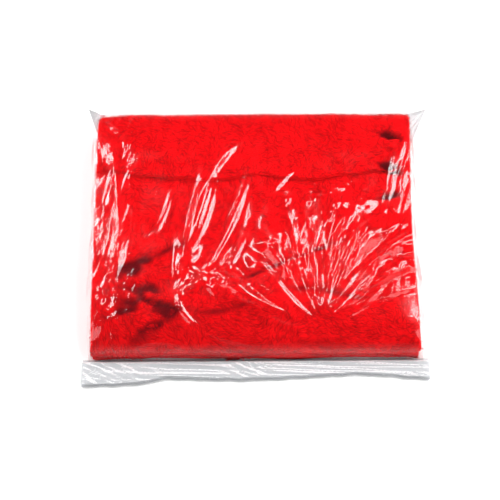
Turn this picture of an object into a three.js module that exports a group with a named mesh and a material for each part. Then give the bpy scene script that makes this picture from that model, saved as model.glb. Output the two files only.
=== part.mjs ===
// A folded soft-pile blanket in a clear film bag, lying flat with the bag's mouth towards -Y.
// The blanket is folded in three across its width, then to and fro along its length. Each layer of
// that folding is three plies thick. The bag's mouth is flattened and folded twice on itself.
// Millimetres, +X to the right, +Z up. The origin is the bottom centre of the whole object's box.
import * as THREE from 'three';

// Overall sizes of the filled bag, without its mouth and ears
const PACK_WIDTH = 500;
const PACK_DEPTH = 405;
const TOP_RADIUS = 32;
const BASE_RADIUS = 14;
const FILM = 1;
const GAP = 0.3;
const EDGE_CLEARANCE = 0.6;

// Blanket
const LAYER = 13.8;
const FULL_LAYERS = 5;
const FLAP_LENGTH = 112;

// Bag mouth: a root that lies in front of the pack, then two folds back and forth over it, each
// shorter than the stretch below it by one step
const MOUTH_WIDTH = 518;
const MOUTH_ROOT = 42;
const MOUTH_STEP = 2;
const MOUTH_CORNER = 6;

// Sealed end: a welded strip that hangs on the back wall, and the two corners that stand out of it
const SEAL_HEIGHT = 12;
const SEAL_THICKNESS = 2;
const EAR_THICKNESS = 2;
const EARS = [
  { name: 'bag_ear_left', side: -1, reach: 12, rise: 9, along: 16 },
  { name: 'bag_ear_right', side: 1, reach: 24, rise: 12, along: 24 },
];

const FOLDED_LAYERS = FULL_LAYERS + 1;
const STACK_BOTTOM = FILM + GAP;
const LAYER_PITCH = LAYER + GAP;
const PACK_HEIGHT = STACK_BOTTOM + FOLDED_LAYERS * LAYER_PITCH + FILM;
const HALF_WIDTH = PACK_WIDTH / 2;
const HALF_DEPTH = PACK_DEPTH / 2;
const WALL_LENGTH = PACK_DEPTH - 2 * (FILM + GAP);
const TURN_RADIUS = LAYER + GAP / 2;
const LAYER_LENGTH = WALL_LENGTH - 2 * (TURN_RADIUS + GAP);
const PLY_PITCH = FILM + GAP;
const MOUTH_FLAP = MOUTH_ROOT - MOUTH_STEP;
const MOUTH_TIP = MOUTH_FLAP - MOUTH_STEP;
const ARC_SEGMENTS = 10;

const finishes = {
  film: { color: 0xe9edf0, roughness: 0.12, metalness: 0, transparent: true, opacity: 0.3 },
  weld: { color: 0xdde2e6, roughness: 0.25, metalness: 0, transparent: true, opacity: 0.5 },
  pile: { color: 0xd80a14, roughness: 0.95, metalness: 0 },
};

const pack = new THREE.Group();

function place(name, geometry, finish, x = 0, y = 0, z = 0) {
  const mesh = new THREE.Mesh(geometry, new THREE.MeshStandardMaterial(finishes[finish]));
  mesh.name = name;
  mesh.position.set(x, y, z);
  pack.add(mesh);
  return mesh;
}

function extrude(shape, depth) {
  return new THREE.ExtrudeGeometry(shape, { depth, bevelEnabled: false, curveSegments: ARC_SEGMENTS });
}

// A section drawn in XZ, run along Y and centred on it
function alongY(shape, length) {
  return extrude(shape, length).rotateX(Math.PI / 2).translate(0, length / 2, 0);
}

// A section drawn in YZ, run along X and centred on it
function alongX(shape, length) {
  const turn = new THREE.Matrix4().makeBasis(
    new THREE.Vector3(0, 1, 0),
    new THREE.Vector3(0, 0, 1),
    new THREE.Vector3(1, 0, 0),
  );
  return extrude(shape, length).applyMatrix4(turn).translate(-length / 2, 0, 0);
}

// Outline of the filled bag in XZ, drawn anticlockwise from its lower left, with its foot at bottom
function packOutline(bottom) {
  const shape = new THREE.Shape();
  const top = PACK_HEIGHT;
  const base = Math.min(BASE_RADIUS, (top - bottom) / 2);
  shape.moveTo(-HALF_WIDTH + base, bottom);
  shape.lineTo(HALF_WIDTH - base, bottom);
  shape.absarc(HALF_WIDTH - base, bottom + base, base, -Math.PI / 2, 0, false);
  shape.lineTo(HALF_WIDTH, top - TOP_RADIUS);
  shape.absarc(HALF_WIDTH - TOP_RADIUS, top - TOP_RADIUS, TOP_RADIUS, 0, Math.PI / 2, false);
  shape.lineTo(-HALF_WIDTH + TOP_RADIUS, top);
  shape.absarc(-HALF_WIDTH + TOP_RADIUS, top - TOP_RADIUS, TOP_RADIUS, Math.PI / 2, Math.PI, false);
  shape.lineTo(-HALF_WIDTH, bottom + base);
  shape.absarc(-HALF_WIDTH + base, bottom + base, base, Math.PI, 1.5 * Math.PI, false);
  return shape;
}

// Half the room inside the side walls at height z
function insideHalfWidth(z) {
  const above = Math.max(0, z - (PACK_HEIGHT - TOP_RADIUS));
  const below = Math.max(0, BASE_RADIUS - z);
  const upper = TOP_RADIUS - Math.sqrt((TOP_RADIUS - FILM) ** 2 - Math.min(above, TOP_RADIUS - FILM) ** 2);
  const lower = BASE_RADIUS - Math.sqrt((BASE_RADIUS - FILM) ** 2 - Math.min(below, BASE_RADIUS - FILM) ** 2);
  return HALF_WIDTH - Math.max(upper, lower);
}

// Half the width of a round-edged layer that clears the side walls all round its edge
function layerHalfWidth(middle) {
  const radius = LAYER / 2;
  let half = Infinity;
  for (let step = -ARC_SEGMENTS; step <= ARC_SEGMENTS; step += 1) {
    const angle = (step / ARC_SEGMENTS) * (Math.PI / 2);
    const room = insideHalfWidth(middle + radius * Math.sin(angle));
    half = Math.min(half, room + radius * (1 - Math.cos(angle)));
  }
  return half - EDGE_CLEARANCE;
}

function layerMiddle(index) {
  return STACK_BOTTOM + index * LAYER_PITCH + LAYER / 2;
}

// Section of one blanket layer: flat above and below, with round edges left and right
function layerSection(half) {
  const radius = LAYER / 2;
  const shape = new THREE.Shape();
  shape.absarc(half - radius, 0, radius, -Math.PI / 2, Math.PI / 2, false);
  shape.absarc(-half + radius, 0, radius, Math.PI / 2, 1.5 * Math.PI, false);
  return shape;
}

// The half-round turn that joins two layers, with its nose towards facing * Y
function turnSection(facing) {
  const start = facing > 0 ? -Math.PI / 2 : Math.PI / 2;
  return new THREE.Shape().absarc(0, 0, TURN_RADIUS, start, start + Math.PI, false);
}

function buildFilmWalls() {
  const flatHalf = HALF_WIDTH - BASE_RADIUS - GAP;
  const base = new THREE.Shape();
  base.moveTo(-flatHalf, 0);
  base.lineTo(flatHalf, 0);
  base.lineTo(flatHalf, FILM);
  base.lineTo(-flatHalf, FILM);
  place('bag_base_panel', alongY(base, WALL_LENGTH), 'film');

  const topHalf = HALF_WIDTH - TOP_RADIUS - GAP;
  const top = new THREE.Shape();
  top.moveTo(-topHalf, -FILM);
  top.lineTo(topHalf, -FILM);
  top.lineTo(topHalf, 0);
  top.lineTo(-topHalf, 0);
  place('bag_top_panel', alongY(top, WALL_LENGTH), 'film', 0, 0, PACK_HEIGHT);

  const side = new THREE.Shape();
  const quarter = Math.PI / 2;
  const lower = [HALF_WIDTH - BASE_RADIUS, BASE_RADIUS];
  const upper = [HALF_WIDTH - TOP_RADIUS, PACK_HEIGHT - TOP_RADIUS];
  side.absarc(...lower, BASE_RADIUS, -quarter, 0, false);
  side.absarc(...upper, TOP_RADIUS, 0, quarter, false);
  side.absarc(...upper, TOP_RADIUS - FILM, quarter, 0, true);
  side.absarc(...lower, BASE_RADIUS - FILM, 0, -quarter, true);
  place('bag_side_right', alongY(side, WALL_LENGTH), 'film');
  place('bag_side_left', alongY(side, WALL_LENGTH), 'film').rotation.z = Math.PI;

  const wallMiddle = HALF_DEPTH - FILM / 2;
  place('bag_back_wall', alongY(packOutline(0), FILM), 'film', 0, wallMiddle);
  place('bag_front_wall', alongY(packOutline(2 * PLY_PITCH), FILM), 'film', 0, -wallMiddle);
}

// The weld hangs flat on the back wall, and an ear of doubled film stands out at each end of it
function buildSealedEnd() {
  const weld = new THREE.BoxGeometry(PACK_WIDTH, SEAL_THICKNESS, SEAL_HEIGHT);
  const weldTop = PACK_HEIGHT / 2;
  const weldY = HALF_DEPTH + GAP + SEAL_THICKNESS / 2;
  place('bag_end_seal', weld, 'weld', 0, weldY, weldTop - SEAL_HEIGHT / 2);

  for (const ear of EARS) {
    const cornerX = HALF_WIDTH + GAP;
    const cornerY = HALF_DEPTH + GAP;
    const outline = [
      [cornerX, cornerY - ear.along],
      [HALF_WIDTH + ear.reach, HALF_DEPTH + ear.rise],
      [cornerX - ear.along, cornerY],
      [cornerX, cornerY],
    ].map(([x, y]) => new THREE.Vector2(ear.side * x, y));
    const plate = extrude(new THREE.Shape(outline), EAR_THICKNESS);
    place(ear.name, plate, 'weld', 0, 0, weldTop + GAP);
  }
}

// One rectangular ply of the mouth with rounded corners, from y = back forwards by depth
function placeMouthPly(name, level, back, depth) {
  const half = MOUTH_WIDTH / 2;
  const r = Math.min(MOUTH_CORNER, depth / 2);
  const quarter = Math.PI / 2;
  const shape = new THREE.Shape();
  shape.absarc(half - r, r, r, -quarter, 0, false);
  shape.absarc(half - r, depth - r, r, 0, quarter, false);
  shape.absarc(-half + r, depth - r, r, quarter, 2 * quarter, false);
  shape.absarc(-half + r, r, r, 2 * quarter, 3 * quarter, false);
  place(name, extrude(shape, FILM), 'film', 0, back - depth, level * PLY_PITCH);
}

function buildMouth() {
  const rootBack = -HALF_DEPTH - GAP;
  const hingeY = rootBack - MOUTH_ROOT;
  const flapBack = hingeY + MOUTH_FLAP;
  placeMouthPly('mouth_root_lower_ply', 0, rootBack, MOUTH_ROOT);
  placeMouthPly('mouth_root_upper_ply', 1, rootBack, MOUTH_ROOT);
  placeMouthPly('mouth_flap_lower_ply', 2, flapBack, MOUTH_FLAP);
  placeMouthPly('mouth_flap_upper_ply', 3, flapBack, MOUTH_FLAP);
  placeMouthPly('mouth_tip_lower_ply', 4, flapBack, MOUTH_TIP);
  placeMouthPly('mouth_tip_upper_ply', 5, flapBack, MOUTH_TIP);
}

function buildBlanket() {
  const halves = [];
  for (let index = 0; index < FOLDED_LAYERS; index += 1) {
    halves.push(layerHalfWidth(layerMiddle(index)));
  }
  for (let index = 0; index < FULL_LAYERS; index += 1) {
    const layer = alongY(layerSection(halves[index]), LAYER_LENGTH);
    place(`blanket_layer_${index + 1}`, layer, 'pile', 0, 0, layerMiddle(index));
  }
  const flap = alongY(layerSection(halves[FULL_LAYERS]), FLAP_LENGTH);
  const flapY = (LAYER_LENGTH - FLAP_LENGTH) / 2;
  place('blanket_top_flap', flap, 'pile', 0, flapY, layerMiddle(FULL_LAYERS));

  // The blanket's first layer starts at the front, so its first turn is at the back
  for (let index = 0; index < FULL_LAYERS; index += 1) {
    const facing = index % 2 === 0 ? 1 : -1;
    const where = facing > 0 ? 'back' : 'front';
    const width = 2 * (Math.min(halves[index], halves[index + 1]) - LAYER / 2);
    const height = layerMiddle(index) + LAYER_PITCH / 2;
    const y = facing * (LAYER_LENGTH / 2 + GAP);
    place(`blanket_${where}_turn_${index + 1}`, alongX(turnSection(facing), width), 'pile', 0, y, height);
  }
}

buildFilmWalls();
buildSealedEnd();
buildMouth();
buildBlanket();

// Put the bottom centre of the whole object's box at the origin
const assembly = new THREE.Group();
assembly.add(pack);
const bounds = new THREE.Box3().setFromObject(pack);
const centre = bounds.getCenter(new THREE.Vector3());
pack.position.set(-centre.x, -centre.y, -bounds.min.z);

export default assembly;
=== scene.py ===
"""A folded soft-pile blanket in a clear film bag, lying with the bag's mouth towards -Y.

The blanket is one sheet, folded in three across its width and to and fro along its length, then
pressed into the pillow shape of its bag. The bag is a flat tube of film: an upper and a lower film
that meet at the side folds and at the welded end, and a mouth that is folded over twice.
Metres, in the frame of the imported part.
"""

import math

import bmesh
import bpy
import numpy as np
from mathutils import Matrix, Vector


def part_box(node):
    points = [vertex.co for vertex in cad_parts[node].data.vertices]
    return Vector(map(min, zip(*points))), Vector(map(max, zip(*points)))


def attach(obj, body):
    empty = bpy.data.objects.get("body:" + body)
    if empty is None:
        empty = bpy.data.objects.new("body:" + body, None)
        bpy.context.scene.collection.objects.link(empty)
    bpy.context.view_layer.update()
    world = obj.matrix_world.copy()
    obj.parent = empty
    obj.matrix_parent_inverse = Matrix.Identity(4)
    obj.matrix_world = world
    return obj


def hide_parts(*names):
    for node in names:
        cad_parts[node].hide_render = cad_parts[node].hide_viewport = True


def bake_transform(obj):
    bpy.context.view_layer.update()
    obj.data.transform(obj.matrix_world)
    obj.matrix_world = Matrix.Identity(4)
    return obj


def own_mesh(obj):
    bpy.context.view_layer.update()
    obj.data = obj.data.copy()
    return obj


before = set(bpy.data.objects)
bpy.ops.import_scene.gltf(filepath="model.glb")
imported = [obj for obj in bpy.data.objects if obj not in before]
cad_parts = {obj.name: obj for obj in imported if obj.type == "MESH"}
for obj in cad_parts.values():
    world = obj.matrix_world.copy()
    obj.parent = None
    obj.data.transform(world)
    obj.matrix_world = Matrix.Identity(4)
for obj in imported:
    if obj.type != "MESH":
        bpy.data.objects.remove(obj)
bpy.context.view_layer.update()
MM = 0.001

# ---------------------------------------------------------------- places taken from the frame

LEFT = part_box("bag_side_left")[0].x
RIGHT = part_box("bag_side_right")[1].x
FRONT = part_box("bag_front_wall")[0].y
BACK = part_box("bag_back_wall")[1].y
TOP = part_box("bag_top_panel")[1].z
CENTRE_X = (LEFT + RIGHT) / 2
CENTRE_Y = (FRONT + BACK) / 2
HALF_W = (RIGHT - LEFT) / 2
HALF_D = (BACK - FRONT) / 2
SEAL_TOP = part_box("bag_end_seal")[1].z
SEAL_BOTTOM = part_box("bag_end_seal")[0].z
BAND_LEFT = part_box("mouth_root_lower_ply")[0].x
BAND_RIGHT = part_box("mouth_root_lower_ply")[1].x
BAND_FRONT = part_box("mouth_root_lower_ply")[0].y
FLAP_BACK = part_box("mouth_flap_lower_ply")[1].y
TIP_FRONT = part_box("mouth_tip_upper_ply")[0].y
BAND_MIDDLE = (BAND_LEFT + BAND_RIGHT) / 2

# ---------------------------------------------------------------- driving sizes of the looks

LAYERS = 6
FILM_LIFT = 4.5 * MM  # room above the folded cloth for its pile
STACK = TOP - FILM_LIFT - 2 * MM  # height of the folded stack at its thickest
LAYER_PITCH = STACK / LAYERS
PLY_PITCH = LAYER_PITCH / 3
CLOTH = 0.8 * PLY_PITCH
SHEET_HALF_X = HALF_W - 4 * MM
SHEET_HALF_Y = HALF_D - 2.4 * MM
FLAP_EDGE_Y = 76 * MM  # front edge of the short top layer, from the pack's centre
LEFT_ROUND = 11.0  # higher is squarer
RIGHT_ROUND = 15.0
END_ROUND = 4.2
BASE_ROUND = 14.0
FOLD_TOP = SEAL_TOP * 0.92  # height of the side folds where they reach the weld
FOLD_FOOT = 4 * MM  # and where they reach the mouth

ROOT_LEVELS = [(0.7 * MM, 4.3 * MM), (1.7 * MM, 3.2 * MM)]  # low and high run of each ply
TIP_LEVELS = [(3.6 * MM, 7.6 * MM), (4.6 * MM, 6.4 * MM)]
FOLD_OVERSHOOT = 0.6 * MM

PILE_DENSITY = 150000.0  # blades to a square metre
PILE_LOWEST = 12 * MM
ROLL_PINCH = (0.100, -0.168)  # where the film is pinched over the front roll
CORNER_PINCH = (-0.122, -0.122)  # and behind the left-hand front corner


# ---------------------------------------------------------------- small numeric helpers

def smooth(t):
    """Eases from 0 to 1 as t does, and holds beyond."""
    t = np.clip(t, 0.0, 1.0)
    return t * t * (3 - 2 * t)


def ripples(x, y, seed, wavelength, count=14):
    """Smooth irregular ripples of about unit size, running every way."""
    rng = np.random.default_rng(seed)
    total = np.zeros(np.broadcast(x, y).shape)
    for _ in range(count):
        angle = rng.uniform(0, math.tau)
        k = math.tau / (wavelength * rng.uniform(0.65, 1.5))
        phase = rng.uniform(0, math.tau)
        total = total + np.sin(k * (x * math.cos(angle) + y * math.sin(angle)) + phase)
    return total / math.sqrt(count)


def along_curve(x, y, points, steps=14):
    """Distance to a smooth curve through three points, its side, and the share run along it."""
    a, b, c = (np.array(p, float) for p in points)
    control = 2 * b - (a + c) / 2
    t = np.linspace(0, 1, steps + 1)[:, None]
    path = (1 - t) ** 2 * a + 2 * t * (1 - t) * control + t * t * c
    near = np.full(np.shape(x), 9.0)
    side = np.zeros(np.shape(x))
    share = np.zeros(np.shape(x))
    for n in range(steps):
        p, d = path[n], path[n + 1] - path[n]
        s = np.clip(((x - p[0]) * d[0] + (y - p[1]) * d[1]) / (d @ d), 0, 1)
        gap = np.hypot(x - p[0] - s * d[0], y - p[1] - s * d[1])
        closer = gap < near
        near = np.where(closer, gap, near)
        side = np.where(closer, np.sign(d[0] * (y - p[1]) - d[1] * (x - p[0])), side)
        share = np.where(closer, (n + s) / steps, share)
    return near, side, share


def ridge(x, y, points, height, width, lean=0.0):
    """A raised fold along a curve. It fades out at both ends and may be steeper on one side."""
    near, side, share = along_curve(x, y, points)
    reach = width * (1 + lean * side)
    fade = np.sqrt(np.clip(np.sin(math.pi * np.clip(share, 0.02, 0.98)), 0, 1))
    return height * fade * np.clip(1 - near / reach, 0, 1) ** 1.1


def facets(s, t, seed, sharp=1.3):
    """Flat triangles between random knots, one knot to a unit of s and t; heights 0 to 1."""
    table = np.random.default_rng(seed).uniform(0, 1, (61, 61)) ** sharp
    s = s + 0.5 * t + 0.15 * ripples(s, t, seed + 1, 3.1, 8)
    t = t + 0.2 * ripples(s, t, seed + 2, 3.7, 8)
    i, j = np.floor(s).astype(int), np.floor(t).astype(int)
    a, b = s - i, t - j
    here, right = table[j % 61, i % 61], table[j % 61, (i + 1) % 61]
    above, far = table[(j + 1) % 61, i % 61], table[(j + 1) % 61, (i + 1) % 61]
    near_half = here * (1 - a - b) + right * a + above * b
    far_half = far * (a + b - 1) + right * (1 - b) + above * (1 - a)
    return np.where(a + b < 1, near_half, far_half)


def creased(s, t, seed):
    """Facets with finer ones over them."""
    return facets(s, t, seed) + 0.35 * facets(2.3 * s, 2.0 * t, seed + 7)


def facet_fan(x, y, centre, start, stop, period, run, slope, reach, seed):
    """Long flat-sided creases that spread from a pinched point."""
    dx, dy = x - centre[0], y - centre[1]
    radius = np.hypot(dx, dy)
    angle = np.arctan2(dy, dx)
    inside = smooth((angle - start) / 0.2) * smooth((stop - angle) / 0.2)
    fade = smooth(radius / 0.03) * smooth((reach - radius) / (0.4 * reach))
    grown = np.minimum(radius, 0.6 * reach) * period * slope
    return grown * creased(angle / period, radius / run, seed) * inside * fade


def facet_field(x, y, heading, width, run, slope, seed):
    """Flat-sided creases that run along one heading; give equal width and run for crumples."""
    along = x * math.cos(heading) + y * math.sin(heading)
    across = -x * math.sin(heading) + y * math.cos(heading)
    return width * slope * creased(across / width, along / run, seed)


def eased(table, x, step):
    """A table of places and values read at x, with its corners rounded off."""
    places, values = np.array(table).T
    return sum(np.interp(x + n * step, places, values) for n in (-2, -1, 0, 1, 2)) / 5


def patch(x, y, centre, half_x, half_y, turn=0.0):
    """A soft oval that is 1 at its centre and 0 well outside."""
    dx, dy = x - centre[0], y - centre[1]
    u = (dx * math.cos(turn) + dy * math.sin(turn)) / half_x
    v = (-dx * math.sin(turn) + dy * math.cos(turn)) / half_y
    return smooth(1.5 - np.hypot(u, v))


# ---------------------------------------------------------------- the pillow that both share

def swell(x, y, half_x, half_y):
    """Share of full height at a place: 1 over the middle, falling round to 0 at the edges."""
    u = np.clip(np.abs(x) / half_x, 0, 1)
    v = np.clip(np.abs(y) / half_y, 0, 1)
    side_round = np.where(x < 0, LEFT_ROUND, RIGHT_ROUND)
    across = (1 - u ** side_round) ** (1 / side_round)
    end_round = np.where(y < 0, END_ROUND - 1.5, END_ROUND)
    lengthways = (1 - v ** end_round) ** (1 / end_round)
    return across * lengthways


def belly(x, y, half_x, half_y):
    """The same for the underside, which is flatter and turns up only close to the edges."""
    u = np.clip(np.abs(x) / half_x, 0, 1)
    v = np.clip(np.abs(y) / half_y, 0, 1)
    return ((1 - u ** BASE_ROUND) * (1 - v ** BASE_ROUND)) ** (1 / BASE_ROUND)


def fold_height(y):
    """Height of the bag's side fold: near the floor at the mouth, half-way up at the weld."""
    share = smooth((y / HALF_D + 1) / 2)
    return FOLD_FOOT + (FOLD_TOP - FOLD_FOOT) * share


# ---------------------------------------------------------------- relief of the blanket's top

LOBE_GAPS = [(0.215, 0.146), (0.213, 0.091), (0.208, 0.046)]


def cloth_relief(x, y):
    """Rises and hollows of the uppermost cloth, measured from the pack's centre."""
    relief = 1.2 * MM * ripples(x, y, 3, 0.11) + 0.6 * MM * ripples(x, y, 4, 0.035)
    front = smooth((0.06 - y) / 0.03)
    relief += 2.0 * MM * (facets((0.5 * x + y) / 0.034, (x - 0.6 * y) / 0.075, 15) - 0.5) * front
    relief += 1.0 * MM * (facets((0.7 * x + y) / 0.016, (x - 0.8 * y) / 0.04, 17) - 0.5) * front
    rear = 1 - front
    relief += 1.5 * MM * (facets((x + 0.5 * y) / 0.05, (y - 0.3 * x) / 0.04, 19) - 0.5) * rear
    # the right-hand ends of the rear layers bulge as three lobes with deep gaps between
    for n, (gap_x, gap_y) in enumerate(LOBE_GAPS):
        bend = 0.35 * (x - gap_x) * (1 if n < 2 else -0.6)
        pit = ((x - gap_x) / (11 * MM)) ** 2 + ((y - gap_y + bend) / (6.5 * MM)) ** 2
        relief -= (24 if n < 2 else 12) * MM * np.exp(-pit)
        valley = np.exp(-(((y - gap_y + bend) / (6 * MM)) ** 2))
        relief -= 5 * MM * valley * smooth((x - gap_x + 0.07) / 0.07) * smooth((0.246 - x) / 0.03)
    seam = np.exp(-(((x - 0.205 - 0.01 * np.cos(y / 0.009)) / (4 * MM)) ** 2))
    relief -= 4.0 * MM * seam * smooth((y - 0.04) / 0.02) * smooth((0.19 - y) / 0.02)
    # a long crease over the middle, with the cloth behind it a little higher
    near, side, share = along_curve(x, y, [(-0.025, -0.098), (0.067, -0.058), (0.150, -0.026)])
    ends = smooth(share / 0.1) * smooth((1 - share) / 0.12)
    relief -= 8 * MM * np.exp(-((near / (3.6 * MM)) ** 2)) * ends
    relief += 1.2 * MM * np.exp(-near / 0.03) * (side > 0) * ends
    # hollows among rucked cloth at the front left
    for hx, hy, wide, deep, depth in (
        (-0.131, -0.050, 0.020, 0.009, 9.0), (-0.162, -0.058, 0.014, 0.007, 8.0),
        (-0.188, -0.078, 0.022, 0.011, 8.0), (-0.195, -0.142, 0.022, 0.011, 8.0),
        (-0.126, -0.144, 0.013, 0.006, 9.0), (-0.152, -0.166, 0.026, 0.007, 9.0),
    ):
        edge = ((x - hx) / wide) ** 2 + ((y - hy - 0.35 * (x - hx)) / deep) ** 2
        relief -= depth * MM * np.exp(-edge) * (0.8 + 0.3 * ripples(x, y, 9, 0.02, 8))
    # soft rucks that lead to the front left hollows
    place = np.exp(-(((x + 0.16) / 0.09) ** 2) - (((y + 0.12) / 0.07) ** 2))
    relief += 10.0 * MM * (facets((x + 0.8 * y) / 0.013, (y - 0.8 * x) / 0.024, 23) - 0.6) * place
    relief += 5.0 * MM * (facets((y - 0.4 * x) / 0.009, (x + 0.4 * y) / 0.020, 25) - 0.6) * place
    # the rolled front edge stands up behind a shallow groove
    groove = -0.128 + 0.012 * np.sin(x / 0.09) + 0.01 * np.sin(x / 0.037)
    relief -= 3.5 * MM * np.exp(-(((y - groove) / (6 * MM)) ** 2)) * smooth((0.23 - np.abs(x)) / 0.05)
    # a dent in the roll, right of the middle
    dent = ((x - 0.100) / 0.014) ** 2 + ((y + 0.190) / 0.006) ** 2
    relief -= 8 * MM * np.exp(-dent)
    # a flattened triangle of cloth where the left-hand front corner is tucked under
    tuck = patch(x, y, (-0.180, -0.196), 0.040, 0.014, 0.35)
    relief -= (4 + 3 * facets(x / 0.012, y / 0.010, 27)) * MM * tuck
    # faint press lines that cross the short top layer
    for line_x in (-0.127, -0.080, -0.019, 0.040, 0.102):
        relief -= 0.5 * MM * np.exp(-(((x - line_x) / (1.5 * MM)) ** 2)) * smooth((y - 0.08) / 0.02)
    return relief


FLAP_WAVES = [(-0.25, 0.094), (-0.161, 0.078), (-0.083, 0.069), (-0.039, 0.072), (0.007, 0.082),
              (0.058, 0.073), (0.090, 0.069), (0.130, 0.078), (0.209, 0.089), (0.25, 0.094)]


def flap_edge(x):
    """Front edge of the short top layer, which runs in slow waves."""
    return eased(FLAP_WAVES, x, 6 * MM) + 1.2 * MM * np.sin(x / 0.009)


SIDE_DRAW = [(-0.21, 1.0), (-0.15, -1.0), (-0.09, -2.5), (-0.03, -5.0),
             (0.03, -5.5), (0.10, -3.0), (0.20, 0.0)]


def drawn_side(x, y):
    """Sideways pull of the right-hand side, which is drawn in behind its middle."""
    pull = np.interp(y, *np.array(SIDE_DRAW).T) * MM
    return x + pull * smooth((x / HALF_W - 0.5) / 0.5)


def press_cloth(x, y, z):
    """Moves points of the square-cornered folded stack into the bag's pillow shape."""
    half_x, half_y = HALF_W - 2.5 * MM, HALF_D - 1.4 * MM
    middle = fold_height(y)
    crown = middle + (STACK + 2 * MM - middle) * swell(x, y, half_x, half_y)
    base = middle - (middle - 1.4 * MM) * belly(x, y, half_x, half_y)
    lifted = base + z / STACK * (crown - base)
    share = smooth((z - 0.45 * STACK) / (0.4 * STACK)) * swell(x, y, half_x, half_y)
    return lifted + cloth_relief(x, y) * share


# ---------------------------------------------------------------- the folded sheet

def across_profile(half, run_cells, turn_cells, shift):
    """Across the width: three runs in x, each place with its offset w from the middle ply."""
    found = []
    radius = PLY_PITCH / 2
    for n in range(3):
        way = 1 if n % 2 == 0 else -1
        cells = run_cells[n]
        for k in range(cells + 1):
            x = way * half * (2 * k / cells - 1)
            found.append((x, (n - 1) * PLY_PITCH + shift * way))
        if n == 2:
            break
        for k in range(1, turn_cells):
            angle = -math.pi / 2 + way * math.pi * k / turn_cells
            reach = radius - way * shift
            x = way * half + reach * math.cos(angle)
            found.append((x, (n - 0.5) * PLY_PITCH + reach * math.sin(angle)))
    return np.array(found)


def length_profile(w, half, counts, turn_cells):
    """Along the length: y and z for offset w from the bundle's middle, layer by layer."""
    ys, zs, layer = [], [], []
    for n in range(LAYERS):
        way = 1 if n % 2 == 0 else -1
        level = (n + 0.5) * LAYER_PITCH
        start, stop = -way * half, way * half
        if n == LAYERS - 1:
            stop = FLAP_EDGE_Y
        for k in range(counts[n] + 1):
            ys.append(start + (stop - start) * k / counts[n] + 0 * w)
            zs.append(level + way * w)
            layer.append(n)
        if n == LAYERS - 1:
            break
        for k in range(1, turn_cells):
            angle = -math.pi / 2 + way * math.pi * k / turn_cells
            reach = LAYER_PITCH / 2 - way * w
            ys.append(way * half + reach * math.cos(angle))
            zs.append(level + LAYER_PITCH / 2 + reach * math.sin(angle))
            layer.append(n + 0.5)
    return np.array(ys), np.array(zs), np.array(layer)


def new_object(name, data):
    """An object in the scene for a mesh, a camera or a light."""
    obj = bpy.data.objects.new(name, data)
    bpy.context.scene.collection.objects.link(obj)
    return obj


def mesh_object(name, vertices, faces):
    """A smooth-shaded mesh on an object of its own."""
    mesh = bpy.data.meshes.new(name)
    mesh.from_pydata([tuple(v) for v in vertices], [], faces)
    mesh.update()
    mesh.shade_smooth()
    return new_object(name, mesh)


def grid_faces(rows, columns, first=0, flip=False):
    """Quads of a grid whose points run row by row from the first."""
    faces = []
    for r in range(rows - 1):
        for c in range(columns - 1):
            a = first + r * columns + c
            quad = (a, a + 1, a + columns + 1, a + columns)
            faces.append(quad[::-1] if flip else quad)
    return faces


def recalculate(obj):
    """Turns all faces of a closed mesh outwards."""
    work = bmesh.new()
    work.from_mesh(obj.data)
    bmesh.ops.recalc_face_normals(work, faces=work.faces)
    work.to_mesh(obj.data)
    work.free()
    obj.data.shade_smooth()


def mark_points(obj, name, values):
    """Keeps one number for each point, for the materials and the pile."""
    layer = obj.data.attributes.new(name, "FLOAT", "POINT")
    layer.data.foreach_set("value", np.asarray(values, np.float32))


def outer_share(points):
    """1 for cloth that lies uppermost at its place, less for the folded sides, 0 if hidden."""
    cell = 5 * MM
    i = ((points[:, 0] - LEFT) / cell).astype(int).clip(0, 120)
    j = ((points[:, 1] - FRONT) / cell).astype(int).clip(0, 120)
    highest = np.zeros((121, 121))
    np.maximum.at(highest, (i, j), points[:, 2])
    uppermost = points[:, 2] > highest[i, j] - 2.0 * MM
    rim_x = np.abs(points[:, 0] - CENTRE_X) > HALF_W - 9 * MM
    rim_y = np.abs(points[:, 1] - CENTRE_Y) > HALF_D - 9 * MM
    return np.where(uppermost, 1.0, np.where(rim_x | rim_y, 0.35, 0.0))


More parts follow.
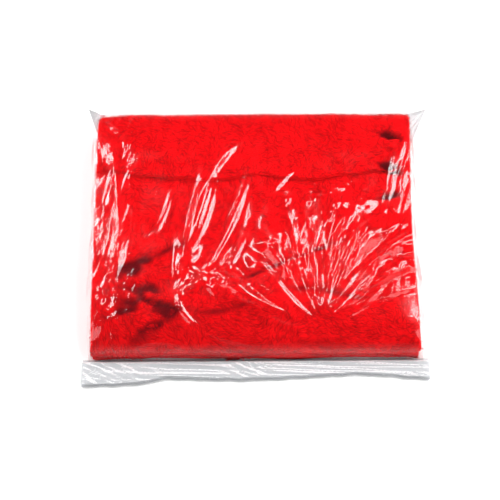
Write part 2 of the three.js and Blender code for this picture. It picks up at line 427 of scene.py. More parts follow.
def build_blanket():
    """One closed sheet with all its folds, a painted-shade mark for its hollows, creases and the
    short layer's edge, and a mark on what shows of it from outside.
    """
    counts = [6, 6, 6, 8, 104, 38]
    run_cells, side_turns, end_turns = (108, 14, 108), 4, 6
    half_x = SHEET_HALF_X - PLY_PITCH / 2 - CLOTH / 2
    half_y = SHEET_HALF_Y - LAYER_PITCH / 2 - PLY_PITCH - CLOTH / 2
    skins = []
    for shift in (-CLOTH / 2, CLOTH / 2):
        across = across_profile(half_x, run_cells, side_turns, shift)
        ys, zs, layer = length_profile(across[:, 1], half_y, counts, end_turns)
        xs = np.broadcast_to(across[:, 0], ys.shape)
        layer = np.broadcast_to(layer[:, None], ys.shape)
        # layers lie a little unevenly on each other
        xs = xs * (1 + 0.006 * np.sin(layer * 2.4) - 0.004)
        ys = ys + 1.2 * MM * ripples(xs, 30 * layer, 21, 0.16, 8)
        on_flap = smooth((layer - (LAYERS - 1.5)) * 2)
        hem = smooth((FLAP_EDGE_Y + 0.05 - ys) / 0.05)
        ys = ys + on_flap * hem * (flap_edge(xs) - FLAP_EDGE_Y)
        # the short layer thins towards its free edge
        under = (LAYERS - 1) * LAYER_PITCH
        thinned = under + (zs - under) * (1 - 0.35 * on_flap * hem)
        zs = np.where((layer > LAYERS - 1.5) & (zs > under), thinned, zs)
        pressed = press_cloth(xs, ys, zs)
        skins.append(np.stack([drawn_side(xs, ys) + CENTRE_X, ys + CENTRE_Y, pressed], -1))
    rows, columns = skins[0].shape[:2]
    vertices = np.concatenate([s.reshape(-1, 3) for s in skins])
    faces = grid_faces(rows, columns, 0, True) + grid_faces(rows, columns, rows * columns)
    rim = ([r * columns for r in range(rows)]
           + [(rows - 1) * columns + c for c in range(1, columns)]
           + [r * columns + columns - 1 for r in range(rows - 2, -1, -1)]
           + list(range(columns - 2, 0, -1)))
    other = rows * columns
    for a, b in zip(rim, rim[1:] + rim[:1]):
        faces.append((a, b, b + other, a + other))
    sheet = mesh_object("blanket_sheet", vertices, faces)
    recalculate(sheet)
    # painted shade: hollows hold less light than their depth alone would show, because the pile
    # closes over them, so the cloth's colour is darkened in its hollows, pits and creases
    points = np.array([v.co for v in sheet.data.vertices])
    sunk = -cloth_relief(points[:, 0] - CENTRE_X, points[:, 1] - CENTRE_Y) / MM
    shade = smooth((sunk - 2.2) / 5.0) * smooth((points[:, 2] - 0.3 * TOP) / (0.2 * TOP))
    # painted shadow: a thin dark line along the short top layer's front edge, where it shades the
    # layer below
    under_flap = np.abs(points[:, 1] - CENTRE_Y - flap_edge(points[:, 0] - CENTRE_X) + 1.5 * MM) / MM
    shade = np.maximum(shade, 0.3 * smooth(1 - under_flap / 2.0) * (points[:, 2] > 0.6 * TOP))
    mark_points(sheet, "shade", shade)
    mark_points(sheet, "outer", outer_share(points))
    return sheet


# ---------------------------------------------------------------- the film over it

GRID_STEP = 4 * MM


def taut_heights():
    """Heights of film drawn tight over the cloth, on a regular grid over the pack."""
    xs = np.arange(-HALF_W, HALF_W + GRID_STEP / 2, GRID_STEP)
    ys = np.arange(-HALF_D, HALF_D + GRID_STEP / 2, GRID_STEP)
    x, y = np.meshgrid(xs, ys)
    step = smooth((y - flap_edge(x) + 5 * MM) / (10 * MM))
    full = 0.65 + 0.35 * smooth((y - flap_edge(x)) / 0.05)
    cloth = STACK - LAYER_PITCH * (1 - step * full)
    cloth = cloth + 0.1 * np.maximum(cloth_relief(x, y), -2 * MM) + 1.4 * MM + FILM_LIFT
    film = np.maximum(cloth, STACK - LAYER_PITCH + FILM_LIFT)
    for _ in range(900):
        mean = film.copy()
        mean[1:-1, 1:-1] = (film[:-2, 1:-1] + film[2:, 1:-1] + film[1:-1, :-2] + film[1:-1, 2:]) / 4
        film = np.maximum(mean, cloth)
    return xs, ys, film


def sample(xs, ys, values, x, y):
    """Values of a regular grid at any places inside it, drawn straight between its points."""
    i = np.clip((x - xs[0]) / GRID_STEP, 0, len(xs) - 1.001)
    j = np.clip((y - ys[0]) / GRID_STEP, 0, len(ys) - 1.001)
    i0, j0 = i.astype(int), j.astype(int)
    a, b = i - i0, j - j0
    low = values[j0, i0] * (1 - a) + values[j0, i0 + 1] * a
    high = values[j0 + 1, i0] * (1 - a) + values[j0 + 1, i0 + 1] * a
    return low * (1 - b) + high * b


FILM_FOLDS = [
    # three points along each fold, its height and half width in mm, and its lean
    ([(-0.012, 0.142), (-0.060, 0.088), (-0.094, 0.000)], 4.0, 10, 0.0),
    ([(-0.077, 0.085), (-0.094, 0.000), (-0.114, -0.085)], 3.9, 9, 0.0),
    ([(-0.060, 0.070), (-0.078, -0.010), (-0.104, -0.070)], 3.3, 9, 0.0),
    ([(-0.004, 0.092), (-0.042, -0.020), (-0.092, -0.118)], 4.2, 8, 0.0),
    ([(0.010, 0.088), (-0.016, -0.030), (-0.064, -0.115)], 4.0, 8, 0.0),
    ([(-0.030, -0.030), (-0.062, -0.085), (-0.108, -0.125)], 3.8, 8, 0.0),
    ([(-0.126, 0.050), (-0.144, -0.008), (-0.162, -0.026)], 2.3, 6, 0.2),
    ([(-0.115, -0.124), (-0.085, -0.170), (0.005, -0.194)], 3.4, 6, 0.2),
    ([(-0.232, 0.174), (-0.219, 0.160), (-0.205, 0.146)], 2.2, 5, 0.0),
    ([(0.119, -0.167), (0.180, -0.124), (0.208, -0.076)], 3.2, 8, 0.3),
    ([(0.112, -0.158), (0.160, -0.120), (0.186, -0.060)], 2.8, 7, 0.3),
    ([(0.100, -0.164), (0.045, -0.168), (0.008, -0.142)], 2.2, 6, 0.2),
    ([(-0.224, 0.145), (-0.205, -0.010), (-0.214, -0.160)], 4.0, 24, -0.3),
    ([(-0.200, -0.150), (-0.222, -0.168), (-0.232, -0.190)], 2.2, 7, 0.0),
    ([(-0.205, -0.212), (-0.160, -0.190), (-0.100, -0.196)], 2.4, 7, 0.3),
    ([(0.028, 0.044), (0.045, 0.066), (0.060, 0.082)], 2.4, 5, 0.0),
]


def film_relief(x, y):
    """Tucks and pulls of the film itself, above the taut surface."""
    relief = 0.25 * MM * (1 + ripples(x, y, 31, 0.08))
    for points, height, width, lean in FILM_FOLDS:
        relief += ridge(x, y, points, height * MM, width * MM, lean)
    # creases spread from where the film is pinched over the front roll
    spread = facet_fan(x, y, ROLL_PINCH, 0.30, 3.0, 0.105, 0.070, 1.05, 0.25, 41)
    hatch = patch(x, y, (0.060, -0.050), 0.035, 0.060)
    spread += facet_field(x, y, 1.5, 11 * MM, 46 * MM, 0.42, 87) * hatch
    spread += facet_fan(x, y, ROLL_PINCH, 0.30, 2.15, 0.045, 0.060, 0.42, 0.20, 42)
    relief += spread * (1 - 0.85 * patch(x, y, (-0.048, -0.010), 0.055, 0.085, -0.4))
    relief += facet_fan(x, y, CORNER_PINCH, 0.60, 1.6, 0.11, 0.07, 0.62, 0.12, 43)
    # crumples beside the streaks, over the top layer's edge and along both sides
    left_front = smooth((-0.19 - x) / 0.02) * smooth((-0.08 - y) / 0.05)
    right_side = smooth((x - 0.186) / 0.02) * smooth((y + 0.15) / 0.08)
    for heading, width, run, slope, seed, where in (
        (0, 9, 9, 0.55, 47, 0.30 * patch(x, y, (-0.045, -0.120), 0.045, 0.028, -0.7)),
        (0.4, 6, 9, 0.8, 53, 0.35 * patch(x, y, (-0.052, 0.056), 0.014, 0.028)),
        (0.1, 6, 22, 0.45, 73, patch(x, y, (0.115, 0.030), 0.06, 0.035)),
        (math.pi / 2, 7, 26, 0.30, 79, smooth((-0.172 - x) / 0.02)),
        (1.1, 14, 34, 0.20, 59, patch(x, y, (0.105, 0.025), 0.085, 0.045)),
        (math.pi / 2, 6, 34, 0.30, 67, right_side),
        (1.4, 11, 26, 0.20, 71, left_front),
    ):
        relief += facet_field(x, y, heading, width * MM, run * MM, slope, seed) * where
    return relief


def round_positions(count, half, power):
    """Places from -half to half that crowd towards the ends, where the surface turns down."""
    angle = np.linspace(math.pi, 0, count)
    c = np.cos(angle)
    return half * np.sign(c) * np.abs(c) ** (2 / power)


def film_points(x, y, heights):
    """Height of the upper film at each place."""
    xs, ys, film = heights
    middle = fold_height(y)
    share = swell(x, y, HALF_W, HALF_D)
    crown = sample(xs, ys, film, x, y) + film_relief(x, y) * smooth(share * 1.6)
    return middle + (crown - middle) * share


def build_upper_film(heights):
    """The film over the top and down all four sides to the side fold."""
    columns, rows = 322, 288
    x, y = np.meshgrid(round_positions(columns, HALF_W, 2.6), round_positions(rows, HALF_D, 2.6))
    z = film_points(x, y, heights)
    # the sides lean in and out a little between the film's anchored ends
    loose = smooth((1 - np.abs(y) / HALF_D) * 4)
    edge = smooth((np.abs(x) / HALF_W - 0.9) / 0.1)
    bow = (1.2 * MM + 2.2 * MM * ripples(y, 2 * np.sign(x), 61, 0.10, 6)) * loose * edge
    points = np.stack([drawn_side(x, y) + bow * np.sign(x) + CENTRE_X, y + CENTRE_Y, z], -1)
    return mesh_object("bag_upper_film", points.reshape(-1, 3), grid_faces(rows, columns))


def build_lower_film():
    """The film under the pack, up to the side fold."""
    columns, rows = 120, 90
    x, y = np.meshgrid(round_positions(columns, HALF_W, 2.6), round_positions(rows, HALF_D, 2.6))
    middle = fold_height(y)
    z = middle - (middle - 0.3 * MM) * belly(x, y, HALF_W, HALF_D)
    points = np.stack([drawn_side(x, y) + CENTRE_X, y + CENTRE_Y, z], -1)
    return mesh_object("bag_lower_film", points.reshape(-1, 3), grid_faces(rows, columns, 0, True))


# ---------------------------------------------------------------- mouth, weld and ears

BAND_DRAW = [(0.0, 0.5), (0.15, 3.0), (0.18, 5.0), (0.245, 13.0), (0.34, 10.5), (0.45, 9.0),
             (0.57, 11.0), (0.70, 15.0), (0.79, 18.0), (0.88, 15.0), (0.95, 11.0), (1.0, 9.0)]


def band_edge(x):
    """How far the folded mouth's front edge is drawn back from its foremost place."""
    u = (x - BAND_LEFT) / (BAND_RIGHT - BAND_LEFT)
    return eased(BAND_DRAW, u, 0.01) * MM + 0.6 * MM * np.sin(x / 0.006) * np.sin(x / 0.027)


def band_wrinkles(x, y, seed, size):
    """Lengthways pulls in the folded mouth, with knots of crumpled film along it."""
    streaks = facets(x / 0.10, y / 0.0065, seed) + 0.5 * facets(x / 0.05, y / 0.003, seed + 3)
    crumple = facets(x / 0.011, y / 0.008, seed + 5) + 0.5 * facets(x / 0.005, y / 0.004, seed + 9)
    u = (x - BAND_LEFT) / (BAND_RIGHT - BAND_LEFT)
    knots = np.exp(-((u / 0.16) ** 2)) + np.exp(-(((u - 0.48) / 0.06) ** 2))
    knots = np.clip(knots + 0.5 * np.exp(-(((u - 1) / 0.05) ** 2)), 0, 1)
    return size * ((1 - knots) * streaks + 1.2 * knots * crumple)


def folded_strip(name, levels, back_y, front_y, fold_at_front, seed):
    """Two nested plies that run forwards at one pair of levels, turn, and run back at the other."""
    columns, run, turn = 260, 34, 6
    way = 1 if fold_at_front else -1
    xs = np.linspace(BAND_LEFT + 1 * MM, BAND_RIGHT - 1 * MM, columns)
    vertices, faces = [], []
    for ply, (low, high) in enumerate(levels):
        inset = ply * 0.8 * MM
        rows = []
        for k in range(run + 1):
            rows.append((k / run, low, 0.0))
        for k in range(1, turn):
            angle = math.pi * k / turn
            rows.append((1.0, (low + high) / 2 - (high - low) / 2 * math.cos(angle), math.sin(angle)))
        for k in range(run + 1):
            rows.append((1 - k / run, high, 0.0))
        first = len(vertices)
        for share, level, bulge in rows:
            edge = front_y + band_edge(xs) if fold_at_front else back_y + 0 * xs
            open_end = back_y if fold_at_front else front_y + band_edge(xs)
            if fold_at_front and level == low:
                open_end = FRONT + 3 * MM
            fold = edge + (inset + FOLD_OVERSHOOT) * way
            y = open_end + (fold - open_end) * share - bulge * FOLD_OVERSHOOT * way
            room = smooth((1 - share) / 0.12 + 0.15)
            outer = ply == 0 and level > 5 * MM
            size, most = (4.6 * MM, 6 * MM) if outer else (0.4 * MM, 0.5 * MM)
            lift = band_wrinkles(xs, y, seed + int(level / MM * 7), size) * room
            # cut ends splay a little
            x = (xs - BAND_MIDDLE) * (1 + 0.006 * (ply - 0.5)) + BAND_MIDDLE
            vertices += list(zip(x, y, level + np.clip(lift, 0, most)))
        faces += grid_faces(len(rows), columns, first, ply == 1)
    return mesh_object(name, vertices, faces)


def build_band():
    """The mouth: root and flap with the fold between them, then the tip with its own fold."""
    root = folded_strip("mouth_root_and_flap", ROOT_LEVELS, FLAP_BACK, BAND_FRONT, True, 71)
    tip = folded_strip("mouth_tip", TIP_LEVELS, FLAP_BACK, TIP_FRONT, False, 83)
    return root, tip


def build_seal():
    """The weld: a narrow strip of doubled film that hangs on the back wall."""
    columns, rows = 160, 8
    xs = np.linspace(LEFT + 3 * MM, RIGHT - 3 * MM, columns)
    vertices = []
    for k in range(rows):
        share = k / (rows - 1)
        z = FOLD_TOP - (SEAL_TOP - SEAL_BOTTOM) * share
        stand = 0.6 * MM + 1.6 * MM * share * (1 + 0.6 * np.sin(xs / 0.031))
        vertices += list(zip(xs, BACK + stand, z + 0.6 * MM * np.sin(xs / 0.017)))
    strip = mesh_object("bag_end_weld", vertices, grid_faces(rows, columns))
    thicken = strip.modifiers.new("thickness", "SOLIDIFY")
    thicken.thickness = 0.3 * MM
    return strip


def build_ear(side, node, name, lift):
    """A corner of the flat bag that stands out beside the filled part, a crumpled triangle."""
    low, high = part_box(node)
    tip_x = high.x if side > 0 else low.x
    corner_x = RIGHT if side > 0 else LEFT
    reach = abs(tip_x - corner_x)
    tip = np.array([corner_x + side * reach, high.y + lift / 2, FOLD_TOP + 4 * MM + lift])
    rear = np.array([corner_x - side * 1.3 * reach, BACK - 2 * MM + lift / 2,
                     FOLD_TOP + 2 * MM + lift])
    fore = np.array([corner_x - side * 1.5 * MM, BACK - 1.9 * reach, FOLD_TOP - 4 * MM])
    inner = np.array([corner_x - side * 0.35 * reach, BACK - 0.35 * reach, FOLD_TOP + 3 * MM])
    steps = 22
    vertices, index, faces = [], {}, []
    for n in range(2 * steps + 1):
        if n <= steps:
            start = fore + (inner - fore) * (n / steps)
        else:
            start = inner + (rear - inner) * (n / steps - 1)
        for k in range(steps + 1):
            s = (k / steps) ** 0.9
            p = start + (tip - start) * s
            pleat = math.sin(n * 0.8 + 0.5) * 1.6 * MM * math.sin(math.pi * s)
            index[n, k] = len(vertices)
            vertices.append((p[0], p[1], p[2] + pleat + 1.2 * MM * math.sin(k * 0.7) * (1 - s)))
    for n in range(2 * steps):
        for k in range(steps):
            quad = (index[n, k], index[n, k + 1], index[n + 1, k + 1], index[n + 1, k])
            faces.append(quad if side < 0 else quad[::-1])
    ear = mesh_object(name, vertices, faces)
    work = bmesh.new()
    work.from_mesh(ear.data)
    bmesh.ops.remove_doubles(work, verts=work.verts, dist=0.02 * MM)
    work.to_mesh(ear.data)
    work.free()
    ear.data.shade_smooth()
    return ear


# ---------------------------------------------------------------- materials

def socket(group, name, way, kind, value=None):
    """One input or output of a node group."""
    made = group.interface.new_socket(name=name, in_out=way, socket_type=kind)
    if value is not None:
        made.default_value = value


def add_node(nodes, kind, values=None, **settings):
    """A node with its settings, then the values of its free inputs by name or place."""
    made = nodes.new(kind)
    for name, value in settings.items():
        setattr(made, name, value)
    for name, value in (values or {}).items():
        made.inputs[name].default_value = value
    return made


def film_crinkle_group():
    """Height of fine crinkles in thin film: cellular creases over slow pulls."""
    group = bpy.data.node_groups.new("Film crinkle", "ShaderNodeTree")
    socket(group, "Cells per metre", "INPUT", "NodeSocketFloat", 130.0)
    socket(group, "Crease depth", "INPUT", "NodeSocketFloat", 1.0)
    socket(group, "Height", "OUTPUT", "NodeSocketFloat")
    socket(group, "Cloud", "OUTPUT", "NodeSocketFloat")
    n, link = group.nodes, group.links.new
    given, out = add_node(n, "NodeGroupInput"), add_node(n, "NodeGroupOutput")
    place = add_node(n, "ShaderNodeTexCoord")
    warp = add_node(n, "ShaderNodeTexNoise", {"Scale": 25.0, "Detail": 2.0})
    mix = add_node(n, "ShaderNodeMix", {"Factor": 0.03}, data_type="VECTOR")
    cells = add_node(n, "ShaderNodeTexVoronoi", feature="DISTANCE_TO_EDGE")
    crease = add_node(n, "ShaderNodeMapRange", {"From Max": 0.16})
    slow = add_node(n, "ShaderNodeTexNoise", {"Scale": 45.0, "Detail": 4.0})
    depth = add_node(n, "ShaderNodeMath", operation="MULTIPLY")
    total = add_node(n, "ShaderNodeMath", {1: 1.5}, operation="MULTIPLY_ADD")
    link(place.outputs["Object"], warp.inputs["Vector"])
    link(place.outputs["Object"], mix.inputs["A"])
    link(warp.outputs["Color"], mix.inputs["B"])
    link(mix.outputs["Result"], cells.inputs["Vector"])
    link(given.outputs["Cells per metre"], cells.inputs["Scale"])
    link(cells.outputs["Distance"], crease.inputs["Value"])
    link(crease.outputs["Result"], depth.inputs[0])
    link(given.outputs["Crease depth"], depth.inputs[1])
    link(place.outputs["Object"], slow.inputs["Vector"])
    link(slow.outputs["Fac"], total.inputs[0])
    link(depth.outputs[0], total.inputs[2])
    link(total.outputs[0], out.inputs["Height"])
    link(slow.outputs["Fac"], out.inputs["Cloud"])
    return group


def film_material(name, crinkle, clear, cells, crease, haze, strength, rim_gain, metal, tone):
    """Clear film: see-through face on, with a mirror-like sheen that grows at a slant."""
    material = bpy.data.materials.new(name)
    material.use_nodes = True
    n, link = material.node_tree.nodes, material.node_tree.links.new
    n.clear()
    out = add_node(n, "ShaderNodeOutputMaterial")
    mix = add_node(n, "ShaderNodeMixShader")
    see = add_node(n, "ShaderNodeBsdfTransparent", {"Color": (*clear, 1)})
    sheen = (tone, tone * 1.01, tone * 1.03, 1)
    shine = add_node(n, "ShaderNodeBsdfPrincipled", {"Base Color": sheen, "Metallic": metal})
    fine = add_node(n, "ShaderNodeGroup", {"Cells per metre": cells, "Crease depth": crease},
                    node_tree=crinkle)
    bump = add_node(n, "ShaderNodeBump", {"Strength": strength, "Distance": 0.4 * MM})
    rim = add_node(n, "ShaderNodeFresnel", {"IOR": 1.5})
    amount = add_node(n, "ShaderNodeMath", {1: rim_gain, 2: haze}, operation="MULTIPLY_ADD")
    matt = add_node(n, "ShaderNodeMapRange",
                    {"From Min": 0.3, "From Max": 0.7, "To Min": 0.06, "To Max": 0.2})
    link(fine.outputs["Height"], bump.inputs["Height"])
    link(fine.outputs["Cloud"], matt.inputs["Value"])
    link(matt.outputs["Result"], shine.inputs["Roughness"])
    link(bump.outputs["Normal"], shine.inputs["Normal"])
    link(bump.outputs["Normal"], rim.inputs["Normal"])
    link(rim.outputs["Fac"], amount.inputs[0])
    link(amount.outputs[0], mix.inputs["Fac"])
    link(see.outputs[0], mix.inputs[1])
    link(shine.outputs[0], mix.inputs[2])
    link(mix.outputs[0], out.inputs["Surface"])
    return material


def pile_streak_group():
    """Colour and height of brushed pile: long soft streaks over small tufts."""
    group = bpy.data.node_groups.new("Brushed pile", "ShaderNodeTree")
    socket(group, "Streak scale", "INPUT", "NodeSocketFloat", 60.0)
    socket(group, "Dark", "INPUT", "NodeSocketColor", (0.45, 0.0, 0.004, 1))
    socket(group, "Light", "INPUT", "NodeSocketColor", (0.85, 0.006, 0.014, 1))
    socket(group, "Colour", "OUTPUT", "NodeSocketColor")
    socket(group, "Height", "OUTPUT", "NodeSocketFloat")
    n, link = group.nodes, group.links.new
    given, out = add_node(n, "NodeGroupInput"), add_node(n, "NodeGroupOutput")
    place = add_node(n, "ShaderNodeTexCoord")
    lay = add_node(n, "ShaderNodeMapping", {"Rotation": (0, 0, 0.5), "Scale": (1, 0.28, 1)})
    streaks = add_node(n, "ShaderNodeTexNoise",
                       {"Detail": 6.0, "Roughness": 0.65, "Distortion": 1.2})
    tufts = add_node(n, "ShaderNodeTexNoise", {"Scale": 520.0, "Detail": 3.0})
    patches = add_node(n, "ShaderNodeTexNoise", {"Scale": 14.0, "Detail": 3.0})
    blend = add_node(n, "ShaderNodeMath", {1: 0.45}, operation="MULTIPLY_ADD")
    spread = add_node(n, "ShaderNodeMapRange", {"From Min": 0.42, "From Max": 0.95})
    colour = add_node(n, "ShaderNodeMix", data_type="RGBA")
    height = add_node(n, "ShaderNodeMath", {1: 0.5}, operation="MULTIPLY_ADD")
    link(place.outputs["Object"], lay.inputs["Vector"])
    link(lay.outputs["Vector"], streaks.inputs["Vector"])
    link(given.outputs["Streak scale"], streaks.inputs["Scale"])
    link(place.outputs["Object"], tufts.inputs["Vector"])
    link(place.outputs["Object"], patches.inputs["Vector"])
    link(patches.outputs["Fac"], blend.inputs[0])
    link(streaks.outputs["Fac"], blend.inputs[2])
    link(blend.outputs[0], spread.inputs["Value"])
    link(spread.outputs["Result"], colour.inputs["Factor"])
    link(given.outputs["Dark"], colour.inputs["A"])
    link(given.outputs["Light"], colour.inputs["B"])
    link(colour.outputs["Result"], out.inputs["Colour"])
    link(tufts.outputs["Fac"], height.inputs[0])
    link(streaks.outputs["Fac"], height.inputs[2])
    link(height.outputs[0], out.inputs["Height"])
    return group


def pile_material(name, streaks, dark, light, bump_strength, toned=False):
    """Red pile, darkened by the sheet's painted shade mark; toned pile also takes its own brightness
    from each blade.
    """
    material = bpy.data.materials.new(name)
    material.use_nodes = True
    n, link = material.node_tree.nodes, material.node_tree.links.new
    cloth = n["Principled BSDF"]
    for given, value in (("Roughness", 0.85), ("Specular IOR Level", 0.04),
                         ("Sheen Weight", 0.08), ("Sheen Roughness", 0.4),
                         ("Sheen Tint", (1.0, 0.12, 0.12, 1))):
        cloth.inputs[given].default_value = value
    fine = add_node(n, "ShaderNodeGroup", {"Dark": (*dark, 1), "Light": (*light, 1)},
                    node_tree=streaks)
    bump = add_node(n, "ShaderNodeBump", {"Strength": bump_strength, "Distance": 1.2 * MM})
    # painted shade: the sheet's shade mark mixes the pile colour towards this deep red, for shade in
    # hollows and creases and the shadow line at the short layer's edge
    painted_shade_mark = add_node(n, "ShaderNodeAttribute", attribute_name="shade")
    painted_shade_mix = add_node(n, "ShaderNodeMix", {"B": (0.15, 0.0, 0.003, 1)}, data_type="RGBA")
    link(painted_shade_mark.outputs["Fac"], painted_shade_mix.inputs["Factor"])
    shown = fine.outputs["Colour"]
    if toned:
        tone = add_node(n, "ShaderNodeAttribute", attribute_name="tone")
        spread = add_node(n, "ShaderNodeMapRange", {"To Min": 0.45, "To Max": 1.1})
        scaled = add_node(n, "ShaderNodeVectorMath", operation="SCALE")
        link(tone.outputs["Fac"], spread.inputs["Value"])
        link(fine.outputs["Colour"], scaled.inputs[0])
        link(spread.outputs["Result"], scaled.inputs["Scale"])
        shown = scaled.outputs[0]
    link(shown, painted_shade_mix.inputs["A"])
    link(painted_shade_mix.outputs["Result"], cloth.inputs["Base Color"])
    link(fine.outputs["Height"], bump.inputs["Height"])
    link(bump.outputs["Normal"], cloth.inputs["Normal"])
    return material


def pile_blade_tree(material):
    """Geometry Nodes tree that lays bent blades of pile over the upper faces of a sheet."""
    tree = bpy.data.node_groups.new("Pile blades", "GeometryNodeTree")
    for name, way, kind, value in (
        ("Geometry", "INPUT", "NodeSocketGeometry", None),
        ("Density", "INPUT", "NodeSocketFloat", PILE_DENSITY),
        ("Length", "INPUT", "NodeSocketFloat", 9 * MM),
        ("Width", "INPUT", "NodeSocketFloat", 1.1 * MM),
        ("Lowest", "INPUT", "NodeSocketFloat", 0.02),
        ("Seed", "INPUT", "NodeSocketInt", 5),
        ("Geometry", "OUTPUT", "NodeSocketGeometry", None),
    ):
        socket(tree, name, way, kind, value)
    n, link = tree.nodes, tree.links.new
    given, out = add_node(n, "NodeGroupInput"), add_node(n, "NodeGroupOutput")

    def math_node(operation, a, b=None):
        node = add_node(n, "ShaderNodeMath", operation=operation)
        for slot, value in zip(node.inputs, (a, b)):
            if isinstance(value, (int, float)):
                slot.default_value = value
            elif value is not None:
                link(value, slot)
        return node.outputs[0]

    # where blades grow: on cloth that faces up or sideways and shows from outside
    normal = add_node(n, "ShaderNodeSeparateXYZ")
    link(add_node(n, "GeometryNodeInputNormal").outputs[0], normal.inputs[0])
    place = add_node(n, "ShaderNodeSeparateXYZ")
    link(add_node(n, "GeometryNodeInputPosition").outputs[0], place.inputs[0])
    up = math_node("GREATER_THAN", normal.outputs["Z"], -0.1)
    high = math_node("GREATER_THAN", place.outputs["Z"], given.outputs["Lowest"])
    outer = add_node(n, "GeometryNodeInputNamedAttribute", {"Name": "outer"}, data_type="FLOAT")
    density = math_node("MULTIPLY", given.outputs["Density"], outer.outputs["Attribute"])
    scatter = add_node(n, "GeometryNodeDistributePointsOnFaces")
    link(given.outputs["Geometry"], scatter.inputs["Mesh"])
    link(math_node("MULTIPLY", up, high), scatter.inputs["Selection"])
    link(density, scatter.inputs["Density"])
    link(given.outputs["Seed"], scatter.inputs["Seed"])
    # one blade: a narrow strip that tapers and arches
    blade = add_node(n, "GeometryNodeMeshGrid", {"Vertices X": 2, "Vertices Y": 3})
    link(given.outputs["Width"], blade.inputs["Size X"])
    link(given.outputs["Length"], blade.inputs["Size Y"])
    where = add_node(n, "ShaderNodeSeparateXYZ")
    link(add_node(n, "GeometryNodeInputPosition").outputs[0], where.inputs[0])
    share = math_node("ADD", math_node("DIVIDE", where.outputs["Y"], given.outputs["Length"]), 0.5)
    taper = math_node("SUBTRACT", 1.0, math_node("MULTIPLY", share, 0.8))
    arch = math_node("SINE", math_node("MULTIPLY", share, 2.3))
    shaped = add_node(n, "ShaderNodeCombineXYZ")
    link(math_node("MULTIPLY", where.outputs["X"], taper), shaped.inputs["X"])
    link(where.outputs["Y"], shaped.inputs["Y"])
    link(math_node("MULTIPLY", arch, 2.2 * MM), shaped.inputs["Z"])
    bend = add_node(n, "GeometryNodeSetPosition")
    link(blade.outputs["Mesh"], bend.inputs["Geometry"])
    link(shaped.outputs[0], bend.inputs["Position"])
    # the lay of the pile swirls slowly, with some strays, and the blades differ in size and tone
    lay = add_node(n, "ShaderNodeTexNoise", {"Scale": 16.0, "Detail": 2.0})
    stray = add_node(n, "FunctionNodeRandomValue", {2: -0.8, 3: 0.8})
    turn = add_node(n, "ShaderNodeCombineXYZ")
    heading = math_node("ADD", math_node("MULTIPLY", lay.outputs["Fac"], 9.0), stray.outputs[1])
    link(heading, turn.inputs["Z"])
    spin = add_node(n, "FunctionNodeRotateRotation", rotation_space="LOCAL")
    link(scatter.outputs["Rotation"], spin.inputs["Rotation"])
    link(turn.outputs[0], spin.inputs["Rotate By"])
    size = add_node(n, "FunctionNodeRandomValue", {2: 0.6, 3: 1.25, "Seed": 3})
    planted = add_node(n, "GeometryNodeInstanceOnPoints")
    link(scatter.outputs["Points"], planted.inputs["Points"])
    link(bend.outputs[0], planted.inputs["Instance"])
    link(spin.outputs[0], planted.inputs["Rotation"])
    link(size.outputs[1], planted.inputs["Scale"])
    tone = add_node(n, "FunctionNodeRandomValue", {"Seed": 9})
    mark = add_node(n, "GeometryNodeStoreNamedAttribute", {"Name": "tone"}, domain="INSTANCE")
    link(planted.outputs[0], mark.inputs["Geometry"])
    link(tone.outputs[1], mark.inputs["Value"])
    real = add_node(n, "GeometryNodeRealizeInstances")
    link(mark.outputs[0], real.inputs[0])
    dress = add_node(n, "GeometryNodeSetMaterial", {"Material": material})
    link(real.outputs[0], dress.inputs["Geometry"])
    link(dress.outputs[0], out.inputs[0])
    return tree


def grow_pile(sheet, material, density, lowest):
    """A plain mesh of pile blades over a sheet, on an object of its own."""
    carrier = new_object("pile_carrier", sheet.data.copy())
    modifier = carrier.modifiers.new("pile", "NODES")
    modifier.node_group = pile_blade_tree(material)
    chosen = {"Density": density, "Lowest": lowest}
    for item in modifier.node_group.interface.items_tree:
        if item.in_out == "INPUT" and item.name in chosen:
            modifier[item.identifier] = chosen[item.name]
    bpy.context.view_layer.update()
    ready = carrier.evaluated_get(bpy.context.evaluated_depsgraph_get())
    pile = new_object("blanket_pile", bpy.data.meshes.new_from_object(ready))
    bpy.data.objects.remove(carrier)
    return pile


def finish_piece(obj, material):
    """Gives a piece its only material."""
    obj.data.materials.clear()
    obj.data.materials.append(material)


# ---------------------------------------------------------------- camera, light and floor

FIELD_OF_VIEW = 16.87  # degrees
CAMERA_ELEVATION = 61.5
CAMERA_AROUND = -0.38
CAMERA_DISTANCE = 2.58
FLOOR_HALF = 12
FLOOR_DROP = 0.4 * MM
SOFTBOXES = [
    # name, place, width and length, radiance
    ("high_left", (-1.00, 1.0, 1.9), (0.26, 1.2), 18.0),
    ("high_right", (1.04, 0.64, 1.9), (0.50, 1.26), 17.0),
    ("side_left", (-0.72, 0.0, 1.9), (0.3, 0.5), 17.0),
    ("side_right", (1.04, -0.28, 1.9), (0.50, 0.56), 16.0),
    ("front_left", (-2.1, -1.5, 1.8), (1.8, 1.8), 3.6),
    ("front_right", (2.1, -1.5, 1.8), (1.8, 1.8), 3.6),
    ("low_left", (-1.45, 0.70, 0.75), (0.22, 0.7), 22.0),
    ("low_right", (1.5, 0.7, 0.7), (0.2, 0.7), 12.0),
]


def aim(obj, target):
    """Points a camera or light at a place."""
    direction = np.array(target) - np.array(obj.location)
    obj.rotation_euler = Vector(direction).to_track_quat("-Z", "Y").to_euler()


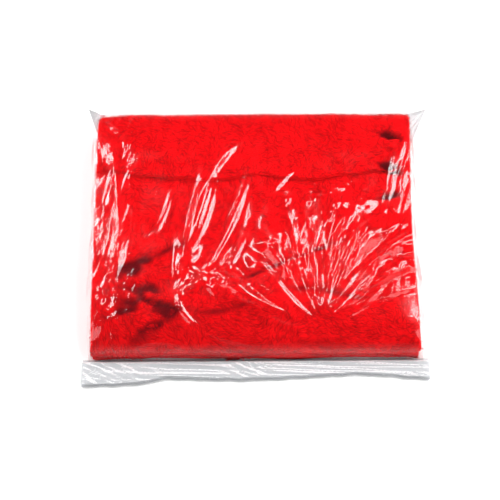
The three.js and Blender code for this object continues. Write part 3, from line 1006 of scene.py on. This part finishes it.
def add_camera():
    """A long lens, high in front of the mouth."""
    data = bpy.data.cameras.new("camera")
    data.sensor_width = 36
    data.lens = data.sensor_width / 2 / math.tan(math.radians(FIELD_OF_VIEW) / 2)
    camera = new_object("camera", data)
    elevation, around = math.radians(CAMERA_ELEVATION), math.radians(CAMERA_AROUND)
    target = (CENTRE_X - 7.3 * MM, CENTRE_Y - 28.6 * MM, 30 * MM)
    flat = CAMERA_DISTANCE * math.cos(elevation)
    camera.location = (target[0] + flat * math.sin(around),
                       target[1] - flat * math.cos(around),
                       target[2] + CAMERA_DISTANCE * math.sin(elevation))
    aim(camera, target)
    bpy.context.scene.camera = camera


def add_softbox(name, place, size, radiance):
    """A rectangular light that faces the pack."""
    data = bpy.data.lights.new(name, "AREA")
    data.shape = "RECTANGLE"
    data.size, data.size_y = size
    data.energy = radiance * math.pi * size[0] * size[1]
    light = new_object(name, data)
    light.location = place
    aim(light, (0, 0, 0.05))


def add_studio():
    """Pale surroundings, the softboxes and a white floor."""
    world = bpy.data.worlds.new("studio")
    bpy.context.scene.world = world
    world.use_nodes = True
    n, link = world.node_tree.nodes, world.node_tree.links.new
    way = add_node(n, "ShaderNodeTexCoord")
    parts = add_node(n, "ShaderNodeSeparateXYZ")
    glow = add_node(n, "ShaderNodeMapRange", {"From Max": 0.45, "To Min": 0.8, "To Max": 0.12})
    link(way.outputs["Generated"], parts.inputs[0])
    link(parts.outputs["Z"], glow.inputs["Value"])
    link(glow.outputs["Result"], n["Background"].inputs["Strength"])
    n["Background"].inputs["Color"].default_value = (1, 1, 1, 1)
    for softbox in SOFTBOXES:
        add_softbox(*softbox)
    corners = [(-FLOOR_HALF, -FLOOR_HALF), (FLOOR_HALF, -FLOOR_HALF),
               (FLOOR_HALF, FLOOR_HALF), (-FLOOR_HALF, FLOOR_HALF)]
    floor = mesh_object("floor", [(x, y, -FLOOR_DROP) for x, y in corners], [(0, 1, 2, 3)])
    white = bpy.data.materials.new("pale floor")
    white.use_nodes = True
    paint = white.node_tree.nodes["Principled BSDF"]
    paint.inputs["Base Color"].default_value = (0.9, 0.9, 0.9, 1)
    paint.inputs["Roughness"].default_value = 0.9
    finish_piece(floor, white)


# ---------------------------------------------------------------- putting it together

add_camera()
add_studio()
bpy.context.scene.view_settings.view_transform = "Standard"

crinkle = film_crinkle_group()
streaks = pile_streak_group()
film = film_material("clear film", crinkle, (0.99, 0.99, 0.99), cells=60, crease=0.5,
                     haze=0.018, strength=0.12, rim_gain=0.42, metal=1.0, tone=0.95)
mouth_film = film_material("crumpled mouth film", crinkle, (0.93, 0.94, 0.95), cells=180, crease=1.0,
                           haze=0.40, strength=0.6, rim_gain=2.0, metal=0.0, tone=0.62)
weld_film = film_material("welded film", crinkle, (0.86, 0.87, 0.88), cells=220, crease=1.0,
                          haze=0.48, strength=0.5, rim_gain=2.0, metal=0.0, tone=0.55)
pile = pile_material("red pile", streaks, (0.72, 0.0, 0.002), (0.99, 0.002, 0.006), 0.8)

blanket = build_blanket()
finish_piece(blanket, pile)
blades = pile_material("red pile blades", streaks, (0.60, 0.0, 0.002), (0.99, 0.002, 0.006),
                       0.3, True)
tufts = grow_pile(blanket, blades, PILE_DENSITY, PILE_LOWEST)
finish_piece(tufts, blades)
heights = taut_heights()
upper = build_upper_film(heights)
lower = build_lower_film()
root, tip = build_band()
weld = build_seal()
ears = [build_ear(-1, "bag_ear_left", "bag_ear_left_film", 8 * MM),
        build_ear(1, "bag_ear_right", "bag_ear_right_film", 2 * MM)]
for piece in (upper, lower):
    finish_piece(piece, film)
for piece in (root, tip):
    finish_piece(piece, mouth_film)
for piece in (weld, *ears):
    finish_piece(piece, weld_film)

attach(blanket, "blanket")
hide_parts(*[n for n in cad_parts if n.startswith("blanket_")])
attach(tufts, "blanket")

for piece, nodes in (
    (upper, ["bag_top_panel", "bag_side_left", "bag_side_right", "bag_back_wall", "bag_front_wall"]),
    (lower, ["bag_base_panel"]), (weld, ["bag_end_seal"]),
    (ears[0], ["bag_ear_left"]), (ears[1], ["bag_ear_right"]),
):
    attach(piece, "bag")
    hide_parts(*nodes)
    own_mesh(piece)

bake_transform(root)
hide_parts("mouth_root_lower_ply", "mouth_root_upper_ply",
            "mouth_flap_lower_ply", "mouth_flap_upper_ply")
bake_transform(tip)
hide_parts("mouth_tip_lower_ply", "mouth_tip_upper_ply")
